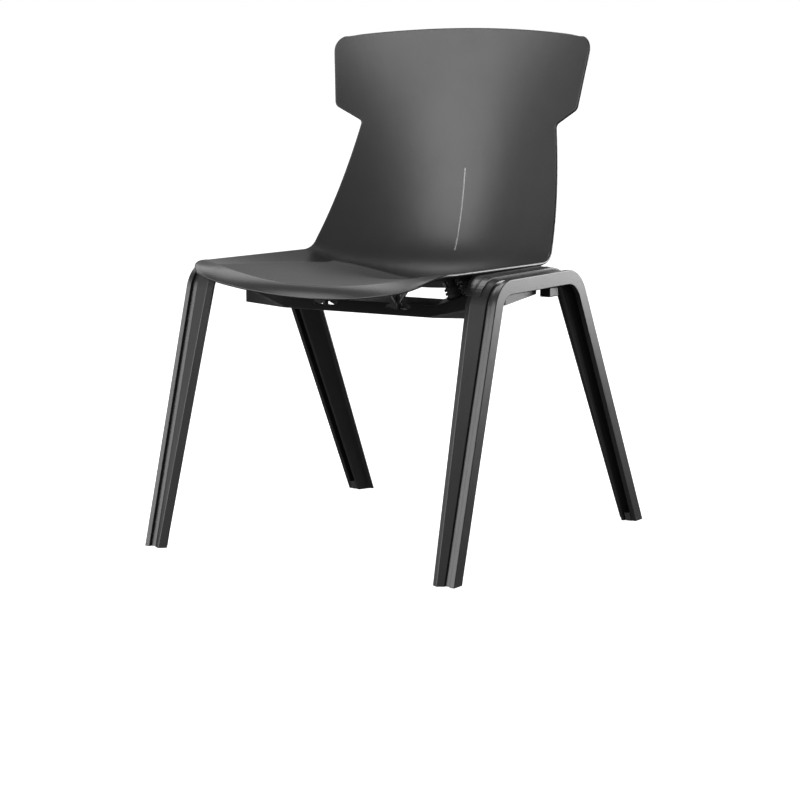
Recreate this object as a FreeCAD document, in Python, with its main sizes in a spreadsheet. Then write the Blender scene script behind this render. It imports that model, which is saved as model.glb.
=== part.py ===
import FreeCAD, Part
import Sketcher
import math
import os
from FreeCAD import Placement, Rotation, Vector

# Stacking chair: a one-piece seat and back shell carried by a cross member between two arched
# side frames. Millimetres, +Z up, the sitter faces -Y, the origin is on the floor under the
# middle of the chair. "Left" is the sitter's left, which is +X.

doc = FreeCAD.newDocument("StackingChair")
sheet = doc.addObject("Spreadsheet::Sheet", "Sizes")

SIZES = [
    ("frame_width", 575.0, "outside face to outside face of the side frames"),
    ("foot_span", 620.5, "front foot to rear foot along the floor, outer corners"),
    ("depth_centre", 310.35, "front foot corner to the middle of the chair"),
    ("rail_height", 442.5, "top of the side frame's rail"),
    ("front_lean", 16.3, "front leg from the vertical, degrees"),
    ("rear_lean", 27.8, "rear leg from the vertical, degrees"),
    ("front_bend", 50.0, "outer radius between front leg and rail"),
    ("rear_bend", 66.0, "outer radius between rail and rear leg"),
    ("leg_depth", 23.0, "side flange of the leg, across the leg"),
    ("foot_nose", 29.0, "outer face to the nose of the leg, at the floor"),
    ("foot_tip", 39.0, "outer face to the inner tip of the leg, at the floor"),
    ("leg_taper", 0.035, "how far the nose and tip move inward per millimetre of height"),
    ("ledge_reach", 62.0, "outer face of the frame to the inner edge of its seat ledge"),
    ("shell_thickness", 5.0, "wall of the seat and of the lower back"),
    ("rim_thickness", 3.6, "wall at the front lip and at the top edge of the back"),
    ("rim_bulge", 0.45, "how far the rounded rims stand out, as a share of the wall"),
    ("seat_half", 226.0, "middle of the chair to the side edge of the seat"),
    ("seat_edge_height", 453.5, "side edge of the seat near its front"),
    ("seat_crest_height", 429.2, "highest point of the seat on its centreline"),
    ("lip_height", 409.8, "lowest point of the front lip"),
    ("lip_half", 202.0, "middle to the end of the lip, where the front corner starts"),
    ("back_start", 468.0, "height where the back surface starts above the bend"),
    ("waist_half", 185.0, "middle to the narrowest point of the back"),
    ("waist_height", 663.0, "height of the narrowest point of the back"),
    ("shoulder_half", 230.5, "middle to the shoulder of the back"),
    ("shoulder_height", 689.0, "height of the shoulder"),
    ("top_half", 246.7, "middle to the top corner of the back"),
    ("top_corner_height", 804.4, "top corner of the back"),
    ("top_crown", 12.0, "rise of the top edge at its middle"),
    ("back_radius_low", 290.0, "hollow of the back across, at the bottom"),
    ("back_radius_top", 900.0, "hollow of the back across, at the top"),
    ("slot_width", 2.4, "slot in the middle of the back"),
    ("slot_bottom", 450.0, "lower end of the slot"),
    ("slot_top", 587.0, "upper end of the slot"),
    ("carrier_top", 391.0, "top face of the cross member"),
    ("carrier_height", 17.0, "height of the cross member"),
    ("carrier_flat", 142.0, "middle to where the cross member turns up, along its front"),
    ("carrier_pad", 429.5, "pad of the cross member under the side frame"),
    ("carrier_half", 251.0, "middle to the end of the cross member"),
    ("carrier_wall", 4.0, "wall of the cross member"),
    ("post_x", 68.0, "middle to each shell post"),
    ("post_diameter", 9.0, "core of a shell post"),
    ("post_fin", 3.5, "thickness of a post's fins"),
    ("buffer_diameter", 28.0, "ribbed part of a buffer"),
    ("buffer_height", 18.0, "ribbed part of a buffer"),
    ("buffer_rib", 3.6, "thickness of a buffer's rib"),
    ("buffer_neck", 14.0, "neck of a buffer"),
    ("lug_length", 28.0, "stacking lug, front to rear"),
    ("lug_width", 18.0, "stacking lug, across"),
    ("lug_height", 14.5, "stacking lug"),
    ("glide_height", 14.0, "plug glide inside a foot"),
    ("screw_diameter", 5.0, "shank of every screw"),
    ("screw_head", 10.0, "head of every screw"),
    ("screw_head_height", 3.0, "head of every screw"),
]
for row, (alias, value, note) in enumerate(SIZES, start=1):
    sheet.set(f"A{row}", note)
    sheet.set(f"B{row}", str(value))
    sheet.setAlias(f"B{row}", alias)
doc.recompute()


def size(alias):
    return float(sheet.get(alias))


CENTRE = size("depth_centre")
OUTER = size("frame_width") / 2
LEFT, RIGHT = 1, -1


def point(across, back, height):
    """A point given by its distance behind the front foot corner."""
    return Vector(across, back - CENTRE, height)


# ---------------------------------------------------------------- helpers


def rounded_wire(corners, radii):
    """A closed planar wire through corners, each corner rounded by its own radius."""
    edges = []
    starts = []
    ends = []
    count = len(corners)
    for i, corner in enumerate(corners):
        before = (corners[i - 1] - corner).normalize()
        after = (corners[(i + 1) % count] - corner).normalize()
        if radii[i] == 0:
            starts.append(corner)
            ends.append(corner)
            continue
        half = before.getAngle(after) / 2
        reach = radii[i] / math.tan(half)
        middle = (before + after).normalize() * (radii[i] / math.sin(half) - radii[i])
        starts.append(corner + before * reach)
        ends.append(corner + after * reach)
        edges.append(Part.Arc(starts[i], corner + middle, ends[i]).toShape())
    for i in range(count):
        following = starts[(i + 1) % count]
        if ends[i].distanceToPoint(following) > 1e-6:
            edges.append(Part.LineSegment(ends[i], following).toShape())
    return Part.Wire(Part.__sortEdges__(edges))


def add_feature(label, shape):
    """A document object holding a finished shape."""
    feature = doc.addObject("Part::Feature", label)
    feature.Label = label
    feature.Shape = shape
    feature.Placement = Placement()
    return feature


# ---------------------------------------------------------------- side frame
# Legs and rail share one section: a flat side flange, a groove, a pointed nose, a wing that
# ends in a tip, and a core rib behind. The nose and the tip move inward as a leg rises, so
# the leg is narrowest at its foot. Section sizes run inward from the outer face, then outward
# from the arch.


def frame_path(side):
    """Corner points of the arch's outer line, from below the front foot to below the rear."""
    height = size("rail_height")
    front = math.radians(size("front_lean"))
    rear = math.radians(size("rear_lean"))
    below = 30.0
    across = side * OUTER
    foot_front = point(across, -below * math.tan(front), -below)
    top_front = point(across, height * math.tan(front), height)
    top_rear = point(across, size("foot_span") - height * math.tan(rear), height)
    foot_rear = point(across, size("foot_span") + below * math.tan(rear), -below)
    return foot_front, top_front, top_rear, foot_rear


def bend(start, corner, end, radius):
    """Arc of the given radius that rounds a corner: its first, middle and last point."""
    before = (start - corner).normalize()
    after = (end - corner).normalize()
    half = before.getAngle(after) / 2
    reach = radius / math.tan(half)
    middle = (before + after).normalize() * (radius / math.sin(half) - radius)
    return corner + before * reach, corner + middle, corner + after * reach


def frame_bends(side):
    foot_front, top_front, top_rear, foot_rear = frame_path(side)
    front = bend(foot_front, top_front, top_rear, size("front_bend"))
    rear = bend(top_front, top_rear, foot_rear, size("rear_bend"))
    return front, rear


def leg_direction(front):
    """Unit vector square to a leg and away from the arch."""
    lean = math.radians(size("front_lean") if front else size("rear_lean"))
    facing = -1 if front else 1
    return Vector(0, facing * math.cos(lean), math.sin(lean))


def frame_section(origin, outward, side):
    """The section at one place of the arch's outer line; its height sets the nose and tip."""
    depth = size("leg_depth")
    shift = size("leg_taper") * min(origin.z, size("rail_height"))
    nose = size("foot_nose") + shift
    tip = size("foot_tip") + shift
    rise = 0.18 * shift
    outline = [
        (0, -depth, 1.2), (0, 0, 1.5), (-8.6, -0.4, 1.0), (-9.4, -5.5, 0.0),
        (-17.8, -6.0, 0.0), (-19.2, -2.6, 0.8), (-nose, 3.3, 2.0), (-tip, rise - 3.5, 1.0),
        (-tip - 0.4, rise - 7.0, 1.0), (-tip + 6, rise - 8.0, 2.0), (-25, -depth - 4, 1.5),
        (-20.5, -depth - 4, 1.5), (-15.5, -11.5, 2.0), (-7.6, -11.2, 1.5), (-7.2, -depth, 1.2),
    ]
    inward = Vector(side, 0, 0)
    corners = [origin + inward * across + outward * out for across, out, _ in outline]
    return rounded_wire(corners, [radius for _, _, radius in outline])


def rail(side):
    """The rail and both bends, swept with the section at the top of the front leg."""
    front, rear = frame_bends(side)
    path = Part.Wire([
        Part.Arc(*front).toShape(),
        Part.LineSegment(front[2], rear[0]).toShape(),
        Part.Arc(*rear).toShape(),
    ])
    section = frame_section(front[0], leg_direction(True), side)
    return path.makePipeShell([section], True, False)


def leg(side, front):
    """One leg, from below the floor to its bend, widening as it rises."""
    path = frame_path(side)
    bends = frame_bends(side)
    foot = path[0] if front else path[3]
    top = bends[0][0] if front else bends[1][2]
    outward = leg_direction(front)
    upper = frame_section(bends[0][0], outward, side)
    upper.translate(top - bends[0][0])
    return Part.makeLoft([frame_section(foot, outward, side), upper], True, True)


def ledge_section(origin, outward, side, reach):
    """The seat ledge's section at one station of the arch."""
    outline = [(-30, 2.0), (-reach, 3.5), (-reach, -2.0), (-30, -8.0)]
    corners = [origin + Vector(side * across, 0, 0) + outward * out for across, out in outline]
    return Part.makePolygon(corners + [corners[0]])


def ledge(side):
    """The ledge under the seat's edge: it grows out of the tip over the bends."""
    front, rear = frame_bends(side)
    full = size("ledge_reach")
    least = size("foot_tip") + size("leg_taper") * front[0].z
    sections = []
    turn = math.radians(90 - size("front_lean"))
    steps = 10
    hub = front[2] - Vector(0, 0, size("front_bend"))
    for i in range(2, steps + 1):
        share = i / steps
        angle = turn * (1 - share)
        outward = Vector(0, -math.sin(angle), math.cos(angle))
        reach = least + (full - least) * math.sin(share * math.pi / 2) ** 2
        sections.append(ledge_section(hub + outward * size("front_bend"), outward, side, reach))
    turn = math.radians(90 - size("rear_lean"))
    hub = rear[0] - Vector(0, 0, size("rear_bend"))
    for i in range(steps - 2):
        share = i / steps
        angle = turn * share
        outward = Vector(0, math.sin(angle), math.cos(angle))
        reach = least + (full - least) * math.cos(share * math.pi / 2) ** 2
        sections.append(ledge_section(hub + outward * size("rear_bend"), outward, side, reach))
    return Part.makeLoft(sections, True, True)


def pad_bearing(side):
    """Block under the ledge that sits on the carrier's pad and takes its screws."""
    width = 22.0
    across = side * 246.5 - width / 2
    height = size("rail_height") - 1 - size("carrier_pad")
    return Part.makeBox(width, 108, height, point(across, 212, size("carrier_pad")))


def side_frame(side):
    body = rail(side).multiFuse([leg(side, True), leg(side, False), ledge(side), pad_bearing(side)])
    room = Part.makeBox(900, 1200, 900, Vector(-450, -600, 0))
    return body.common(room).removeSplitter()


# ---------------------------------------------------------------- seat shell
# The upper surface is a net of points. Rows run from the front lip over the seat and up the
# back; columns run from side to side. The lower surface is the same net moved in by the wall.

COLUMNS = 36


def seat_middle(back):
    """Height of the seat's centreline, a long crown that falls to the rear."""
    return size("seat_crest_height") - 0.00042 * (back - 120) ** 2


def fold_height(back):
    """Height of the fold between the seat's pan and its raised side."""
    return 450 - 0.0675 * (back - 71)


def fold_half(back):
    return 192 - 0.035 * (back - 71)


def edge_height(back):
    return size("seat_edge_height") - 0.0125 * (back - 100)


def seat_height(across, back):
    """Height of the seat surface: a hollow pan between two raised sides."""
    fold = fold_half(back)
    middle = seat_middle(back)
    if abs(across) <= fold:
        return middle + (fold_height(back) - middle) * (across / fold) ** 2
    rise = (abs(across) - fold) / (size("seat_half") - fold)
    return fold_height(back) + (edge_height(back) - fold_height(back)) * rise


def back_middle(height):
    """Distance behind the front foot of the back's centreline, which eases to upright."""
    return 528.5 - 47 * math.exp(-(height - 450) / 116.5)


def back_hollow(height):
    """How far the back's surface comes forward, per square of the distance from the middle."""
    low = 0.5 / size("back_radius_low")
    top = 0.5 / size("back_radius_top")
    climb = (height - size("back_start")) / (size("top_corner_height") - size("back_start"))
    return low + (top - low) * max(0.0, climb)


def back_surface(across, height):
    return back_middle(height) - back_hollow(height) * across ** 2


def lip_point(across):
    """The front lip's lower edge: swept forward from the middle, then round to the corners."""
    share = across / size("lip_half")
    corner = share ** 16
    return 46 - 13 * share ** 2 + 4 * corner, size("lip_height") + 26 * share ** 2 + 3.5 * corner


def crease_back(across):
    """Distance back of the crease where the seat rolls over into the front face."""
    if abs(across) <= 190:
        return 57 + 14 * (across / 190) ** 2
    return 71 + 0.75 * (abs(across) - 190)


def column_shares():
    """Evenly spread positions across the shell, from -1 to 1."""
    return [2 * j / COLUMNS - 1 for j in range(COLUMNS + 1)]


def front_rows():
    """Rows of the rolled front face, from the lip to the crease, with its rounded corners."""
    rows = []
    count = 8
    overhang = size("seat_half") - size("lip_half")
    shares = [i / count for i in range(count)] + [0.95, 1.0]
    for share in shares:
        half = size("seat_half") - overhang * (1 - share) ** 3.4
        swell = 5.0 * share * (1 - share)
        row = []
        for column in column_shares():
            across = column * half
            lip_back, lip_height = lip_point(min(abs(across), size("lip_half")))
            top_back = crease_back(across)
            top_height = seat_height(across, top_back)
            corner = column ** 8
            climb = share * (1 - corner) + (1 - (1 - share) ** 3.2) * corner
            back = lip_back + (top_back - lip_back) * share - swell
            height = lip_height + (top_height - lip_height) * climb + swell
            row.append(point(across, back, height))
        rows.append(row)
    return rows


def seat_rows(seat_end):
    """Rows of the seat, from behind the crease to where it starts to bend up."""
    rows = []
    count = 14
    for share in [0.009] + [i / count for i in range(1, count + 1)]:
        row = []
        for column in column_shares():
            across = column * size("seat_half")
            start = crease_back(across)
            back = start + (seat_end - start) * share
            row.append(point(across, back, seat_height(across, back)))
        rows.append(row)
    return rows


def bend_rows(seat_end):
    """Rows of the bend: at each column a parabola tangent to the seat and to the back."""
    rows = []
    count = 10
    top = size("back_start")
    half_low = size("seat_half")
    half_top = outline_half(top)
    step = 0.5
    for i in range(1, count):
        share = i / count
        half = half_low + (half_top - half_low) * share ** 2
        row = []
        for column in column_shares():
            across = column * half
            first = Vector(seat_end, seat_height(column * half_low, seat_end), 0)
            fall = (first.y - seat_height(column * half_low, seat_end - step)) / step
            last = Vector(back_surface(column * half_top, top), top, 0)
            lean = (back_surface(column * half_top, top + step) - last.x) / step
            reach = (last.y - first.y - (last.x - first.x) / lean) / (fall - 1 / lean)
            corner = Vector(first.x + reach, first.y + fall * reach, 0)
            spot = first * (1 - share) ** 2 + corner * 2 * share * (1 - share) + last * share ** 2
            row.append(point(across, spot.x, spot.y))
        rows.append(row)
    return rows


def outline_half(height):
    """Half width of the back between the seat's edge and the waist."""
    rise = (height - 450) / (size("waist_height") - 450)
    return size("seat_half") + (size("waist_half") - size("seat_half")) * rise


def corner_arc(before, corner, after, radius, count):
    """Points of an arc that rounds one corner of the back's outline."""
    first, middle, last = bend(before, corner, after, radius)
    arc = Part.Arc(first, middle, last)
    return arc.toShape().discretize(count)


def back_outline():
    """The back's edge as half width and height: waist, shoulder and top corner rounded."""
    start = Vector(outline_half(size("back_start")), size("back_start"), 0)
    waist = Vector(size("waist_half"), size("waist_height"), 0)
    shoulder = Vector(size("shoulder_half"), size("shoulder_height"), 0)
    corner = Vector(size("top_half"), size("top_corner_height"), 0)
    middle = Vector(0, size("top_corner_height"), 0)
    run = 14
    outline = [start + (waist - start) * (i / run * 0.95) for i in range(run + 1)]
    outline += corner_arc(start, waist, shoulder, 9.0, 6)
    outline += corner_arc(waist, shoulder, corner, 12.0, 7)
    outline += [shoulder + (corner - shoulder) * (0.2 + i * 0.12) for i in range(5)]
    outline += corner_arc(shoulder, corner, middle, 22.0, 9)
    return outline


def back_rows():
    """Rows of the back: each is as wide as the outline, and the top rows are crowned."""
    rows = []
    crown_start = size("shoulder_height")
    crown_end = size("top_corner_height")
    for spot in back_outline():
        share = max(0.0, (spot.y - crown_start) / (crown_end - crown_start))
        row = []
        for column in column_shares():
            across = column * spot.x
            height = spot.y + size("top_crown") * share * (1 - column ** 2)
            row.append(point(across, back_surface(across, height), height))
        rows.append(row)
    return rows


def net_normal(net, i, j):
    """Direction square to the net at one of its points, out of the sitter's side."""
    along = net[min(i + 1, len(net) - 1)][j] - net[max(i - 1, 0)][j]
    across = net[i][min(j + 1, COLUMNS)] - net[i][max(j - 1, 0)]
    return across.cross(along).normalize()


def wall_at(spot):
    """The shell's wall at a point: it thins towards the front lip and the top of the back."""
    full = size("shell_thickness")
    start = size("back_start")
    climb = (spot.z - start) / (size("top_corner_height") - start)
    forward = (85 - CENTRE - spot.y) / 45
    share = min(1.0, max(0.0, climb, forward))
    return full - (full - size("rim_thickness")) * share


def lower_net(net):
    """The net moved in by the wall."""
    lower = []
    for i, row in enumerate(net):
        lower.append([spot - net_normal(net, i, j) * wall_at(spot) for j, spot in enumerate(row)])
    return lower


def outward_line(rim, inner, normals):
    """At each point of a rim, the direction in the surface and square to the rim."""
    line = []
    last = len(rim) - 1
    for k, spot in enumerate(rim):
        along = rim[min(k + 1, last)] - rim[max(k - 1, 0)]
        out = along.cross(normals[k]).normalize()
        line.append(out if out.dot(spot - inner[k]) > 0 else out * -1)
    return line


def outward_lines(net):
    """The outward directions of the front, top, left and right rims, shared at the corners."""
    normals = [[net_normal(net, i, j) for j in range(COLUMNS + 1)] for i in range(len(net))]
    front = outward_line(net[0], net[1], normals[0])
    top = outward_line(net[-1], net[-2], normals[-1])
    left = outward_line([row[-1] for row in net], [row[-2] for row in net], [row[-1] for row in normals])
    right = outward_line([row[0] for row in net], [row[1] for row in net], [row[0] for row in normals])
    for rim, side, place, end in ((front, left, -1, 0), (front, right, 0, 0),
                                  (top, left, -1, -1), (top, right, 0, -1)):
        shared = (rim[place] + side[end]).normalize()
        rim[place] = shared
        side[end] = shared
    return front, top, left, right


def rim_net(upper, lower, outward):
    """Poles of a rounded rim that leaves both surfaces without an edge."""
    reach = size("rim_bulge") / 0.75
    beyond = [out * (a.distanceToPoint(b) * reach) for a, b, out in zip(upper, lower, outward)]
    return [
        upper, [a + out for a, out in zip(upper, beyond)],
        [b + out for b, out in zip(lower, beyond)], lower,
    ]


def net_surface(net, degree_along, degree_across):
    """A clamped B-spline surface with the net's points as its poles."""
    def knots(count, degree):
        spans = count - degree
        values = [float(i) for i in range(spans + 1)]
        return values, [degree + 1] + [1] * (spans - 1) + [degree + 1]

    knots_along, counts_along = knots(len(net), degree_along)
    knots_across, counts_across = knots(len(net[0]), degree_across)
    surface = Part.BSplineSurface()
    surface.buildFromPolesMultsKnots(
        net, counts_along, counts_across, knots_along, knots_across,
        False, False, degree_along, degree_across)
    return surface.toShape()


def doubled(net, row):
    """The net with one row repeated, which sharpens the surface there."""
    return net[:row] + [net[row]] * 2 + net[row + 1:]


def seat_shell():
    seat_end = 366.0
    front = front_rows()
    net = front + seat_rows(seat_end) + bend_rows(seat_end) + back_rows()
    crease = len(front) - 1
    upper = doubled(net, crease)
    lower = doubled(lower_net(net), crease)
    front_out, top_out, left_out, right_out = outward_lines(net)
    faces = [
        net_surface(upper, 3, 3),
        net_surface(lower, 3, 3),
        net_surface(rim_net(upper[0], lower[0], front_out), 3, 3),
        net_surface(rim_net(upper[-1], lower[-1], top_out), 3, 3),
    ]
    for column, out in ((-1, left_out), (0, right_out)):
        rims = [[row[column] for row in side] for side in (upper, lower)]
        faces.append(net_surface(rim_net(*rims, doubled(out, crease)), 3, 3))
    skin = Part.Compound(faces)
    skin.sewShape()
    solid = Part.makeSolid(Part.Shell(skin.Faces))
    if solid.Volume < 0:
        solid.reverse()
    return solid.cut(back_slot())


def back_slot():
    """Cutter for the round-ended slot on the back's centreline."""
    half = size("slot_width") / 2
    low = size("slot_bottom")
    high = size("slot_top")
    corners = [
        point(-half, 430, low), point(half, 430, low), point(half, 430, high), point(-half, 430, high),
    ]
    outline = rounded_wire(corners, [half * 0.98] * 4)
    return Part.Face(outline).extrude(Vector(0, 130, 0))


# ---------------------------------------------------------------- seat carrier
# A moulded tray open below. Its front face leans back, its ends turn up along an oblique fold
# to a pad under each side frame, and a web closes the corner below each fold.


def carrier_corners(inset):
    """Four corners at each station of one end: front bottom, front top, rear top, rear bottom."""
    top = size("carrier_top")
    low = top - size("carrier_height")
    pad = size("carrier_pad")
    flat = size("carrier_flat")
    drop = 6.0 if inset else 0.0
    lean = 1.5 * inset
    end = size("carrier_half") - inset
    fold = [
        (flat, 181 + lean - drop, low - drop), (flat - 8.1, 199 + lean, top - inset),
        (flat - 48.9, 290 - inset, top - inset), (flat - 47.1, 286 - inset, low - drop),
    ]
    inner = [
        (236.0, 211 + inset, 397 - drop), (236.0, 219 + inset, pad - inset),
        (236.0, 312 - inset, pad - inset), (236.0, 308 - inset, 406 - drop),
    ]
    outer = [(end, back, height) for _, back, height in inner]
    return fold, inner, outer


def carrier_block(inset):
    """The carrier's outside, or its hollow when inset is the wall."""
    stations = carrier_corners(inset)
    sections = []
    for side, order in ((RIGHT, reversed(stations)), (LEFT, stations)):
        for corners in order:
            spots = [point(side * across, back, height) for across, back, height in corners]
            sections.append(Part.makePolygon(spots + [spots[0]]))
    return Part.makeLoft(sections, True, True)


def carrier_web(side):
    """Upright web that closes the corner below one fold of the carrier."""
    fold, inner, _ = carrier_corners(0.0)
    start = Vector(*fold[0])
    end = Vector(*inner[0])
    run = Vector(end.x - start.x, end.y - start.y, 0)
    root = start - run * 0.05
    foot = start + run
    corners = [
        root + Vector(0, 0, 2), start, foot + Vector(0, 0, 1), end + Vector(0, 0, 2),
    ]
    spots = [point(side * spot.x, spot.y + 0.5, spot.z) for spot in corners]
    face = Part.Face(Part.makePolygon(spots + [spots[0]]))
    return face.extrude(Vector(0, size("carrier_wall"), 0))


def post_places():
    """Name, side, distance from the middle and depth of each shell post."""
    return [
        ("front_left", LEFT, size("post_x"), 194.0), ("front_right", RIGHT, size("post_x"), 194.0),
        ("rear_left", LEFT, 110.0, 284.0), ("rear_right", RIGHT, 110.0, 284.0),
    ]


def post_floor(back):
    """Height of the recess floor a post stands on."""
    return size("carrier_top") + (-9.0 if back < 200 else 2.5)


def post_recess(middle, back):
    """Diamond recess in the carrier around a post's foot."""
    floor = post_floor(back)
    corners = [
        point(middle - 26, back, floor), point(middle, back - 10, floor),
        point(middle + 26, back, floor), point(middle, back + 10, floor),
    ]
    return Part.Face(rounded_wire(corners, [2.0] * 4)).extrude(Vector(0, 0, 20))


def seat_carrier():
    wall = size("carrier_wall")
    hole_radius = size("screw_diameter") / 2
    outside = carrier_block(0.0)
    body = outside.cut(carrier_block(wall))
    for across in (-45.0, 0.0, 45.0):
        rib = Part.makeBox(3, 110, 14, point(across - 1.5, 184, size("carrier_top") - 16))
        body = body.fuse(rib.common(outside))
    for side in (LEFT, RIGHT):
        body = body.fuse(carrier_web(side))
    for _, side, across, back in post_places():
        middle = side * across
        floor = post_floor(back)
        boss = Part.makeCylinder(size("post_diameter") / 2 + 3, wall + 2, point(middle, back, floor - wall))
        body = body.fuse(boss.common(outside)).cut(post_recess(middle, back))
        body = body.cut(Part.makeCylinder(hole_radius, 30, point(middle, back, floor - 20)))
    for side, back in frame_screw_places():
        place = point(side * 241, back, size("carrier_pad") - 8)
        body = body.cut(Part.makeCylinder(hole_radius, 12, place))
    return body.removeSplitter()


# ---------------------------------------------------------------- shell posts


def post_fin(turn):
    """One plate of a post: a V that spreads from the foot towards the shell."""
    thick = size("post_fin")
    outline = [(-4, 4), (4, 4), (4, 9), (21, 32), (21, 60), (-21, 60), (-21, 32), (-4, 9)]
    corners = [Vector(across, -thick / 2, up) for across, up in outline]
    plate = Part.Face(Part.makePolygon(corners + [corners[0]])).extrude(Vector(0, thick, 0))
    window = [(3, 16), (15, 32), (15, 60), (3, 60)]
    for sign in (1, -1):
        hole = [Vector(sign * across, -thick, up) for across, up in window]
        gap = Part.Face(Part.makePolygon(hole + [hole[0]])).extrude(Vector(0, 2 * thick, 0))
        plate = plate.cut(gap)
    plate.rotate(Vector(0, 0, 0), Vector(0, 0, 1), turn)
    return plate


def post(middle, back, shell):
    """A post with a round core and four fins, cut off where it meets the shell."""
    foot = point(middle, back, post_floor(back))
    core = Part.makeCylinder(size("post_diameter") / 2, 60)
    body = core.multiFuse([post_fin(0), post_fin(90)])
    body.translate(foot)
    body = body.cut(Part.makeCylinder(size("screw_diameter") / 2, 14, foot))
    pieces = body.cut(shell).Solids
    pieces.sort(key=lambda piece: piece.CenterOfMass.z)
    return pieces[0].removeSplitter()


# ---------------------------------------------------------------- rubber buffers


def bound(kind, name, **expressions):
    """A Part primitive whose sizes are bound to the sheet."""
    item = doc.addObject(kind, name)
    for key, expression in expressions.items():
        item.setExpression(key, expression)
    return item


def carrier_fold(back):
    """Distance from the middle to the fold in the carrier's top face."""
    return size("carrier_flat") - 8.1 - 0.448 * (back - 199)


def add_buffer(name, side, across, back, neck_length, shell):
    """A ribbed buffer that stands square on the carrier's slope and ends at the shell."""
    core = bound("Part::Cylinder", f"{name}_core", Radius="Sizes.buffer_diameter / 2 - 3",
                 Height="Sizes.buffer_height")
    neck = bound("Part::Cylinder", f"{name}_neck", Radius="Sizes.buffer_neck / 2",
                 Height=f"Sizes.buffer_height + {neck_length}")
    pieces = [core, neck]
    for i in range(3):
        rib = bound("Part::Cylinder", f"{name}_rib{i + 1}", Radius="Sizes.buffer_diameter / 2",
                    Height="Sizes.buffer_rib")
        rib.setExpression("Placement.Base.z", f"1 + {i} * (Sizes.buffer_height - Sizes.buffer_rib - 2) / 2")
        pieces.append(rib)
    whole = doc.addObject("Part::MultiFuse", f"{name}_whole")
    whole.Shapes = pieces
    fold = carrier_fold(back)
    slope = math.atan2(size("carrier_pad") - size("carrier_top"), 236.0 - fold)
    foot = size("carrier_top") + (across - fold) * math.tan(slope)
    turn = Rotation(Vector(0, 1, 0), -side * math.degrees(slope))
    whole.Placement = Placement(point(side * across, back, foot), turn)
    body = doc.addObject("Part::Cut", name)
    body.Label = name
    body.Base = whole
    body.Tool = shell
    return body


# ---------------------------------------------------------------- stacking lugs


def origin_plane(body, role):
    return [item for item in body.Origin.OriginFeatures if item.Role == role][0]


def add_lug(name, side):
    """A block below the rail that rests on the chair beneath in a stack."""
    body = doc.addObject("PartDesign::Body", name)
    body.Label = name
    sketch = body.newObject("Sketcher::SketchObject", f"{name}_outline")
    sketch.AttachmentSupport = [(origin_plane(body, "XY_Plane"), "")]
    sketch.MapMode = "FlatFace"
    corners = [Vector(0, 0, 0), Vector(18, 0, 0), Vector(18, 28, 0), Vector(0, 28, 0)]
    for i in range(4):
        sketch.addGeometry(Part.LineSegment(corners[i], corners[(i + 1) % 4]))
    for i in range(4):
        sketch.addConstraint(Sketcher.Constraint("Coincident", i, 2, (i + 1) % 4, 1))
    for line, way in enumerate(("Horizontal", "Vertical", "Horizontal", "Vertical")):
        sketch.addConstraint(Sketcher.Constraint(way, line))
    sketch.addConstraint(Sketcher.Constraint("Coincident", 0, 1, -1, 1))
    across = sketch.addConstraint(Sketcher.Constraint("Distance", 0, 18.0))
    sketch.setExpression(f"Constraints[{across}]", "Sizes.lug_width")
    along = sketch.addConstraint(Sketcher.Constraint("Distance", 1, 28.0))
    sketch.setExpression(f"Constraints[{along}]", "Sizes.lug_length")
    pad = body.newObject("PartDesign::Pad", f"{name}_pad")
    pad.Profile = sketch
    pad.setExpression("Length", "Sizes.lug_height")
    doc.recompute()
    rounding = body.newObject("PartDesign::Fillet", f"{name}_rounding")
    rounding.Base = (pad, [f"Edge{i + 1}" for i in range(len(pad.Shape.Edges))])
    rounding.Radius = 1.5
    body.Tip = rounding
    core_bottom = size("rail_height") - size("leg_depth") - 4
    inner = 252.0 if side == LEFT else -252.0 - size("lug_width")
    body.Placement = Placement(point(inner, 318, core_bottom - size("lug_height")), Rotation())
    return body


# ---------------------------------------------------------------- plug glides


def glide(side, front):
    """A plug in the hollow of a foot, cut level with the floor and leaning with the leg."""
    facing = -1 if front else 1
    outward = leg_direction(front)
    upward = Vector(0, -facing * outward.z, facing * outward.y)
    foot = point(side * OUTER, 0 if front else size("foot_span"), 0) - upward * 20
    outline = [(-7.8, -11.7, 1.0), (-15.0, -11.9, 1.0), (-19.2, -24.5, 2.0), (-7.4, -24.5, 2.0)]
    corners = [foot + Vector(side * across, 0, 0) + outward * out for across, out, _ in outline]
    wire = rounded_wire(corners, [radius for _, _, radius in outline])
    plug = Part.Face(wire).extrude(upward * 60)
    return plug.common(Part.makeBox(900, 1200, size("glide_height"), Vector(-450, -600, 0)))


# ---------------------------------------------------------------- screws


def frame_screw_places():
    return [(side, back) for side in (LEFT, RIGHT) for back in (238.0, 292.0)]


def screw(place, shank):
    """A pan-head screw driven up from below; its place is the underside of what it holds."""
    head_height = size("screw_head_height")
    head = Part.makeCylinder(size("screw_head") / 2, head_height, place - Vector(0, 0, head_height))
    head = head.makeChamfer(0.8, [edge for edge in head.Edges if edge.CenterOfMass.z < place.z - 1
                                  and edge.Curve.TypeId == "Part::GeomCircle"])
    socket = Part.makeCylinder(1.8, 1.6, place - Vector(0, 0, head_height))
    return head.fuse(Part.makeCylinder(size("screw_diameter") / 2, shank, place)).cut(socket)


def frame_screws():
    under_pad = size("carrier_pad") - size("carrier_wall")
    return Part.makeCompound([
        screw(point(side * 241, back, under_pad), 13.0) for side, back in frame_screw_places()])


def shell_screws():
    return Part.makeCompound([
        screw(point(side * across, back, post_floor(back) - size("carrier_wall")), 14.0)
        for _, side, across, back in post_places()])


# ---------------------------------------------------------------- document objects


def with_screw_holes(frame, side):
    for screw_side, back in frame_screw_places():
        if screw_side == side:
            place = point(side * 241, back, size("carrier_pad") - 1)
            frame = frame.cut(Part.makeCylinder(size("screw_diameter") / 2, 10, place))
    return frame


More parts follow.
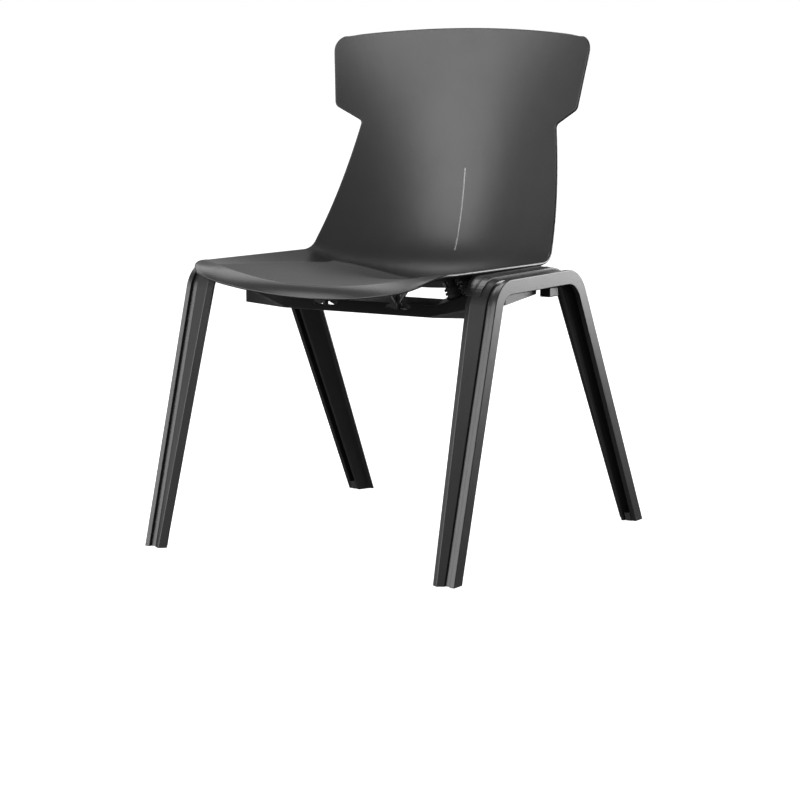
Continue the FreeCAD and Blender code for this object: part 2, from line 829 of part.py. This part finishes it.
shell = seat_shell()
parts = [
    add_feature("seat_shell", shell),
    add_feature("side_frame_left", with_screw_holes(side_frame(LEFT), LEFT)),
    add_feature("side_frame_right", with_screw_holes(side_frame(RIGHT), RIGHT)),
    add_feature("seat_carrier", seat_carrier()),
    add_feature("frame_screws", frame_screws()),
    add_feature("shell_screws", shell_screws()),
    add_lug("stacking_lug_left", LEFT),
    add_lug("stacking_lug_right", RIGHT),
]
for end, side, across, back in post_places():
    parts.append(add_feature(f"post_{end}", post(side * across, back, shell)))
for end, across, back, neck in (("front", 153.0, 228.0, 12.0), ("rear", 146.0, 282.0, 3.5)):
    parts.append(add_buffer(f"buffer_{end}_left", LEFT, across, back, neck, parts[0]))
    parts.append(add_buffer(f"buffer_{end}_right", RIGHT, across, back, neck, parts[0]))
for end, is_front in (("front", True), ("rear", False)):
    parts.append(add_feature(f"glide_{end}_left", glide(LEFT, is_front)))
    parts.append(add_feature(f"glide_{end}_right", glide(RIGHT, is_front)))

doc.recompute()
for item in doc.Objects:
    faults = [word for word in item.State if word in ("Invalid", "Error")]
    if faults:
        raise RuntimeError(f"{item.Label} failed: {item.State}")
for part in parts:
    if part.Shape.isNull() or not part.Shape.isValid():
        raise RuntimeError(f"{part.Label} has no sound shape")

os.makedirs("parts", exist_ok=True)
for part in parts:
    part.Shape.exportStep(f"parts/{part.Label}.step")
    box = part.Shape.optimalBoundingBox()
    print(f"{part.Label}: {len(part.Shape.Solids)} solid, {part.Shape.Volume / 1000:.1f} cm3, "
          f"{box.XMin:.1f} {box.XMax:.1f} {box.YMin:.1f} {box.YMax:.1f} {box.ZMin:.1f} {box.ZMax:.1f}")
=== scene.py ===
import math

import bpy
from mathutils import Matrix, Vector

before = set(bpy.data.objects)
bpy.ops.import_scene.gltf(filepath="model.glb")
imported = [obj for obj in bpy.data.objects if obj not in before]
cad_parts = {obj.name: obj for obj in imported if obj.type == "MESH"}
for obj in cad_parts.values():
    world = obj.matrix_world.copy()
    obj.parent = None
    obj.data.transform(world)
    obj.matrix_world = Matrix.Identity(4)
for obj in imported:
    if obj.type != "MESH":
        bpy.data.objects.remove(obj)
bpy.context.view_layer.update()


# ---------------------------------------------------------------- node graphs


class Graph:
    """Short calls that add nodes to one material and join them up."""

    def __init__(self, name):
        self.material = bpy.data.materials.new(name)
        self.material.use_nodes = True
        self.tree = self.material.node_tree
        self.shader = self.tree.nodes["Principled BSDF"]
        self.place = self.node("ShaderNodeTexCoord").outputs["Object"]
        split = self.node("ShaderNodeSeparateXYZ")
        self.join(self.place, split.inputs[0])
        self.x, self.y, self.z = split.outputs

    def node(self, kind):
        return self.tree.nodes.new(kind)

    def join(self, value, socket):
        """Feeds a socket from another node's output, or sets it to a plain number."""
        if isinstance(value, (int, float)):
            socket.default_value = value
        else:
            self.tree.links.new(value, socket)

    def calc(self, operation, first, second=0.0):
        node = self.node("ShaderNodeMath")
        node.operation = operation
        self.join(first, node.inputs[0])
        self.join(second, node.inputs[1])
        return node.outputs[0]

    def noise(self, scale, detail):
        """Noise of so many features to the metre."""
        node = self.node("ShaderNodeTexNoise")
        node.inputs["Scale"].default_value = scale
        node.inputs["Detail"].default_value = detail
        self.join(self.place, node.inputs["Vector"])
        return node.outputs["Fac"]

    def ranged(self, value, low, high, out_low, out_high):
        """Maps a value from one range onto another, held at its ends."""
        node = self.node("ShaderNodeMapRange")
        self.join(value, node.inputs["Value"])
        node.inputs["From Min"].default_value = low
        node.inputs["From Max"].default_value = high
        node.inputs["To Min"].default_value = out_low
        node.inputs["To Max"].default_value = out_high
        return node.outputs["Result"]

    def blend(self, share, first, second):
        """Mixes two colours, each a socket or an RGB triple."""
        node = self.node("ShaderNodeMix")
        node.data_type = "RGBA"
        self.join(share, node.inputs["Factor"])
        for colour, socket in ((first, node.inputs[6]), (second, node.inputs[7])):
            if isinstance(colour, tuple):
                socket.default_value = (*colour, 1.0)
            else:
                self.join(colour, socket)
        return node.outputs[2]

    def bump(self, height, distance, strength, under=None):
        node = self.node("ShaderNodeBump")
        node.inputs["Distance"].default_value = distance
        node.inputs["Strength"].default_value = strength
        self.join(height, node.inputs["Height"])
        if under is not None:
            self.join(under, node.inputs["Normal"])
        return node.outputs["Normal"]

    def edge_share(self, radius):
        """How near a spot lies to a hard edge: 1 on the edge and 0 a radius away from it."""
        rounded = self.node("ShaderNodeBevel")
        rounded.samples = 6
        rounded.inputs["Radius"].default_value = radius
        alike = self.node("ShaderNodeVectorMath")
        alike.operation = "DOT_PRODUCT"
        self.join(rounded.outputs["Normal"], alike.inputs[0])
        self.join(self.node("ShaderNodeNewGeometry").outputs["Normal"], alike.inputs[1])
        return self.ranged(alike.outputs["Value"], 0.99, 0.88, 0.0, 1.0)


# ---------------------------------------------------------------- materials

PLASTIC = (0.022, 0.022, 0.0225)
SHINE = 0.42

# the pan's outline on the seat, in metres: x across from the middle, y back
FOLD_FRONT_X = 0.192  # the fold's distance from the middle at FOLD_FRONT_Y
FOLD_FRONT_Y = -0.23935
FOLD_TAPER = 0.035  # how much nearer the middle the fold comes per metre back
CREASE_Y = -0.25335  # the crease at the middle
CREASE_SWEEP = 0.3878  # how far back it runs, per square of x
PAN_END_Y = 0.11065  # the pan's rear line at the middle
PAN_END_SWEEP = 30.9  # how far forward that runs, per fourth power of x
PAN_EDGE = 0.0006  # half the width of the change at the outline


def plastic_tone(graph, colour):
    """The plastic's colour, faintly mottled as pigment is in a large moulding."""
    darker = tuple(part * 0.85 for part in colour)
    lighter = tuple(part * 1.15 for part in colour)
    return graph.blend(graph.noise(26, 4), darker, lighter)


def plastic_roughness(graph, roughness):
    """Roughness that drifts over the surface, with fine rubbed spots."""
    haze = graph.ranged(graph.noise(9, 3), 0.3, 0.7, roughness - 0.015, roughness + 0.015)
    rubbed = graph.ranged(graph.noise(420, 1), 0.3, 0.7, -0.03, 0.03)
    return graph.calc("ADD", haze, rubbed)


def plastic_grain(graph, strength, under=None):
    """Spark-eroded grain at two sizes."""
    coarse = graph.bump(graph.noise(900, 2), 0.00006, strength, under=under)
    return graph.bump(graph.noise(2400, 2), 0.00003, strength, under=coarse)


def worn_and_highlit(graph, tone, wear_and_highlight):
    """Pales a colour in patches, as handling does to an edge; the paleness is partly that wear
    and partly a painted highlight along the edge.
    """
    patches = graph.ranged(graph.noise(60, 3), 0.35, 0.7, 0.3, 1.0)
    return graph.blend(graph.calc("MULTIPLY", patches, wear_and_highlight), tone, (0.2, 0.2, 0.205))


def moulded_plastic(name, colour, roughness, wear_and_highlight):
    """Black moulded plastic with paler edges, partly worn and partly a painted highlight."""
    graph = Graph(name)
    tone = plastic_tone(graph, colour)
    # paler edges: partly wear, partly a painted highlight along the hard edges
    wear_and_highlight = graph.calc("MULTIPLY", graph.edge_share(0.0016), wear_and_highlight)
    graph.join(worn_and_highlit(graph, tone, wear_and_highlight), graph.shader.inputs["Base Color"])
    graph.join(plastic_roughness(graph, roughness), graph.shader.inputs["Roughness"])
    graph.join(plastic_grain(graph, 0.35), graph.shader.inputs["Normal"])
    graph.shader.inputs["Specular IOR Level"].default_value = SHINE
    return graph.material


def edge_plastic(name, colour, roughness, wear_and_highlight):
    """The same plastic on a rounded rim, rubbed smoother and paler; the paler tone is partly
    wear and partly a painted highlight on the rim.
    """
    graph = Graph(name)
    tone = plastic_tone(graph, colour)
    graph.join(worn_and_highlit(graph, tone, wear_and_highlight), graph.shader.inputs["Base Color"])
    graph.join(plastic_roughness(graph, roughness), graph.shader.inputs["Roughness"])
    graph.join(plastic_grain(graph, 0.15), graph.shader.inputs["Normal"])
    graph.shader.inputs["Specular IOR Level"].default_value = SHINE
    return graph.material


def pan_mask(graph):
    """1 on the seat's textured pan, 0 around it: bounded by the fold at each side, the crease
    in front and a rounded line in the bend behind."""
    across = graph.calc("ABSOLUTE", graph.x)
    square = graph.calc("MULTIPLY", graph.x, graph.x)
    fourth = graph.calc("MULTIPLY", square, square)
    fold = graph.calc("MULTIPLY_ADD", graph.y, -FOLD_TAPER)
    fold.node.inputs[2].default_value = FOLD_FRONT_X + FOLD_TAPER * FOLD_FRONT_Y
    inside = graph.calc("SUBTRACT", fold, across)
    crease = graph.calc("MULTIPLY_ADD", square, CREASE_SWEEP)
    crease.node.inputs[2].default_value = CREASE_Y
    behind = graph.calc("SUBTRACT", graph.y, crease)
    end = graph.calc("MULTIPLY_ADD", fourth, -PAN_END_SWEEP)
    end.node.inputs[2].default_value = PAN_END_Y
    before = graph.calc("SUBTRACT", end, graph.y)
    nearest = graph.calc("MINIMUM", graph.calc("MINIMUM", inside, behind), before)
    # the pale tone this mask carries is partly painted light on the upward-facing seat, and its
    # rear line marks where the bend's shade begins
    flat = graph.ranged(nearest, -PAN_EDGE, PAN_EDGE, 0.0, 1.0)
    normal = graph.node("ShaderNodeSeparateXYZ")
    graph.join(graph.node("ShaderNodeNewGeometry").outputs["True Normal"], normal.inputs[0])
    upper = graph.ranged(normal.outputs["Z"], 0.1, 0.3, 0.0, 1.0)
    return graph.calc("MULTIPLY", flat, upper)


def shell_plastic():
    """The shell's plastic, with a coarser grain on the pan, for grip, and paler there: partly
    the grip finish's own tone, partly painted light on the upward-facing seat. Its edges are
    paler too, partly worn and partly a painted highlight.
    """
    graph = Graph("shell_plastic")
    pan = pan_mask(graph)
    tone = plastic_tone(graph, PLASTIC)
    # the pan's paler tone: partly the grip finish, partly painted light where the seat faces up
    pan_tone_with_painted_light = graph.blend(graph.noise(160, 3), (0.062, 0.062, 0.063), (0.088, 0.088, 0.089))
    # paler shell edges: partly wear, partly a painted highlight along the rims
    edge = graph.calc("MULTIPLY", graph.edge_share(0.0014), 0.45)
    tone = worn_and_highlit(graph, graph.blend(pan, tone, pan_tone_with_painted_light), edge)
    graph.join(tone, graph.shader.inputs["Base Color"])
    rougher = graph.calc("MULTIPLY", pan, 0.3)
    roughness = graph.calc("ADD", plastic_roughness(graph, 0.36), rougher)
    graph.join(roughness, graph.shader.inputs["Roughness"])
    step = graph.bump(pan, 0.0004, 0.8)
    dimples = graph.calc("MULTIPLY", pan, graph.noise(520, 1))
    texture = graph.bump(dimples, 0.0003, 0.6, under=step)
    graph.join(plastic_grain(graph, 0.35, under=texture), graph.shader.inputs["Normal"])
    graph.shader.inputs["Specular IOR Level"].default_value = SHINE
    return graph.material


def satin_steel():
    """Zinc-plated screw steel: pale, patchy and a little scratched."""
    graph = Graph("screw_steel")
    patches = graph.noise(300, 3)
    tone = graph.blend(patches, (0.30, 0.30, 0.31), (0.52, 0.52, 0.50))
    graph.join(tone, graph.shader.inputs["Base Color"])
    graph.shader.inputs["Metallic"].default_value = 1.0
    roughness = graph.ranged(graph.noise(700, 2), 0.3, 0.7, 0.28, 0.45)
    graph.join(roughness, graph.shader.inputs["Roughness"])
    graph.join(graph.bump(graph.noise(1500, 2), 0.00003, 0.3), graph.shader.inputs["Normal"])
    return graph.material


def soft_rubber(name, colour):
    """Matt rubber with a dusty bloom."""
    graph = Graph(name)
    bloom = graph.ranged(graph.noise(140, 4), 0.45, 0.75, 0.0, 0.5)
    pale = tuple(part * 2.2 for part in colour)
    graph.join(graph.blend(bloom, colour, pale), graph.shader.inputs["Base Color"])
    roughness = graph.ranged(graph.noise(260, 2), 0.3, 0.7, 0.62, 0.82)
    graph.join(roughness, graph.shader.inputs["Roughness"])
    graph.join(graph.bump(graph.noise(1200, 3), 0.00008, 0.4), graph.shader.inputs["Normal"])
    return graph.material


# ---------------------------------------------------------------- edges


def soften(node, width):
    """Rounds a CAD node's hard edges, which leaves its mesh data as it is. The rounded faces
    take the node's last material."""
    weld = node.modifiers.new("weld", "WELD")
    weld.merge_threshold = 0.00002
    bevel = node.modifiers.new("bevel", "BEVEL")
    bevel.width = width
    bevel.segments = 3
    bevel.limit_method = "ANGLE"
    bevel.angle_limit = math.radians(35)
    bevel.harden_normals = True
    bevel.use_clamp_overlap = True
    bevel.material = len(node.data.materials) - 1


# ---------------------------------------------------------------- camera


def add_camera():
    """The photograph's camera: its place, turn, tilt and lens."""
    azimuth = math.radians(32.1008)
    elevation = math.radians(8.5089)
    forward = Vector((
        -math.sin(azimuth) * math.cos(elevation),
        math.cos(azimuth) * math.cos(elevation),
        -math.sin(elevation),
    ))
    data = bpy.data.cameras.new("camera")
    data.sensor_width = 36.0
    data.lens = 108.937
    camera = bpy.data.objects.new("camera", data)
    camera.location = Vector((2.06968, -3.30107, 0.80158))
    camera.rotation_mode = "QUATERNION"
    camera.rotation_quaternion = forward.to_track_quat("-Z", "Y")
    bpy.context.scene.collection.objects.link(camera)
    bpy.context.scene.camera = camera


# ---------------------------------------------------------------- stage

FLOOR_REACH = 60.0  # from the middle to the floor's sides, in metres
FLOOR_GLOW = 0.92

# the surround's strength by height: 0 straight down, 0.5 at the horizon, 1 straight up
NADIR_STRENGTH = 0.05
ZENITH_STRENGTH = 0.3
SURROUND = ((0.46, 0.05), (0.49, 1.0), (0.56, 1.0), (0.67, 0.35))

# each soft box: its name, direction from the chair, distance, width and height in metres,
# and power in watts
LIGHTS = [
    ("front_left", (-0.45, -0.89, 0.20), 3.2, 2.2, 2.3, 90),
    ("rear_right", (0.52, 0.84, 0.14), 3.2, 2.0, 1.6, 98),
    ("overhead_left", (-0.48, 0.2, 0.85), 3.0, 1.8, 1.8, 40),
]


def add_floor():
    """A white floor that glows a little, as a lit sweep does. It throws no light back on the
    chair, so the chair's lower faces stay dark."""
    reach = FLOOR_REACH
    corners = [(-reach, -reach, 0), (reach, -reach, 0), (reach, reach, 0), (-reach, reach, 0)]
    mesh = bpy.data.meshes.new("floor")
    mesh.from_pydata(corners, [], [(0, 1, 2, 3)])
    floor = bpy.data.objects.new("floor", mesh)
    bpy.context.scene.collection.objects.link(floor)
    graph = Graph("floor")
    shader = graph.shader
    shader.inputs["Base Color"].default_value = (0.6, 0.6, 0.6, 1)
    shader.inputs["Roughness"].default_value = 1.0
    shader.inputs["Specular IOR Level"].default_value = 0.0
    shader.inputs["Emission Color"].default_value = (1, 1, 1, 1)
    shader.inputs["Emission Strength"].default_value = FLOOR_GLOW
    mesh.materials.append(graph.material)
    floor.visible_glossy = False
    floor.visible_diffuse = False


def add_light(name, direction, distance, width, height, power):
    """A soft box that shines at the middle of the chair."""
    target = Vector((0, 0, 0.45))
    data = bpy.data.lights.new(name, "AREA")
    data.shape = "RECTANGLE"
    data.size = width
    data.size_y = height
    data.energy = power
    light = bpy.data.objects.new(name, data)
    light.location = target + Vector(direction).normalized() * distance
    light.rotation_mode = "QUATERNION"
    light.rotation_quaternion = (target - light.location).to_track_quat("-Z", "Y")
    bpy.context.scene.collection.objects.link(light)


def add_world():
    """A surround that is white around the horizon, greyer overhead and dark below the floor."""
    world = bpy.data.worlds.new("studio")
    world.use_nodes = True
    tree = world.node_tree
    place = tree.nodes.new("ShaderNodeTexCoord")
    split = tree.nodes.new("ShaderNodeSeparateXYZ")
    tree.links.new(place.outputs["Generated"], split.inputs[0])
    level = tree.nodes.new("ShaderNodeFloatCurve")
    curve = level.mapping.curves[0]
    curve.points[0].location = (0.0, NADIR_STRENGTH)
    curve.points[1].location = (1.0, ZENITH_STRENGTH)
    for height, strength in SURROUND:
        curve.points.new(height, strength)
    for spot in curve.points:
        spot.handle_type = "VECTOR"
    level.mapping.update()
    half = tree.nodes.new("ShaderNodeMath")
    half.operation = "MULTIPLY_ADD"
    half.inputs[1].default_value = 0.5
    half.inputs[2].default_value = 0.5
    tree.links.new(split.outputs["Z"], half.inputs[0])
    tree.links.new(half.outputs[0], level.inputs["Value"])
    background = tree.nodes["Background"]
    background.inputs["Color"].default_value = (1, 1, 1, 1)
    tree.links.new(level.outputs["Value"], background.inputs["Strength"])
    bpy.context.scene.world = world


# ---------------------------------------------------------------- the chair

shell = shell_plastic()
# the rim plastic goes on the bevelled edges of the carrier and posts; its paler tone is partly
# wear and partly a painted highlight
rim = edge_plastic("rim_plastic", PLASTIC, 0.34, 0.5)
structure = moulded_plastic("frame_plastic", PLASTIC, 0.33, 0.5)
rubber = soft_rubber("buffer_rubber", (0.02, 0.02, 0.02))
glide = soft_rubber("glide_plastic", (0.03, 0.03, 0.032))
steel = satin_steel()

# the start of each node's name, its materials, and the radius of its hard edges
FINISHES = [
    ("seat_shell", [shell], 0.0),
    ("side_frame", [structure], 0.0),
    ("seat_carrier", [structure, rim], 0.0008),
    ("post", [structure, rim], 0.0004),
    ("stacking_lug", [structure], 0.0),
    ("buffer", [rubber], 0.0005),
    ("glide", [glide], 0.0004),
    ("frame_screws", [steel], 0.0002),
    ("shell_screws", [steel], 0.0002),
]
for start, materials, width in FINISHES:
    for name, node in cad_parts.items():
        if name.startswith(start):
            node.data.materials.clear()
            for material in materials:
                node.data.materials.append(material)
            if width:
                soften(node, width)

bpy.context.scene.view_settings.view_transform = "Standard"
add_camera()
add_floor()
add_world()
for light in LIGHTS:
    add_light(*light)
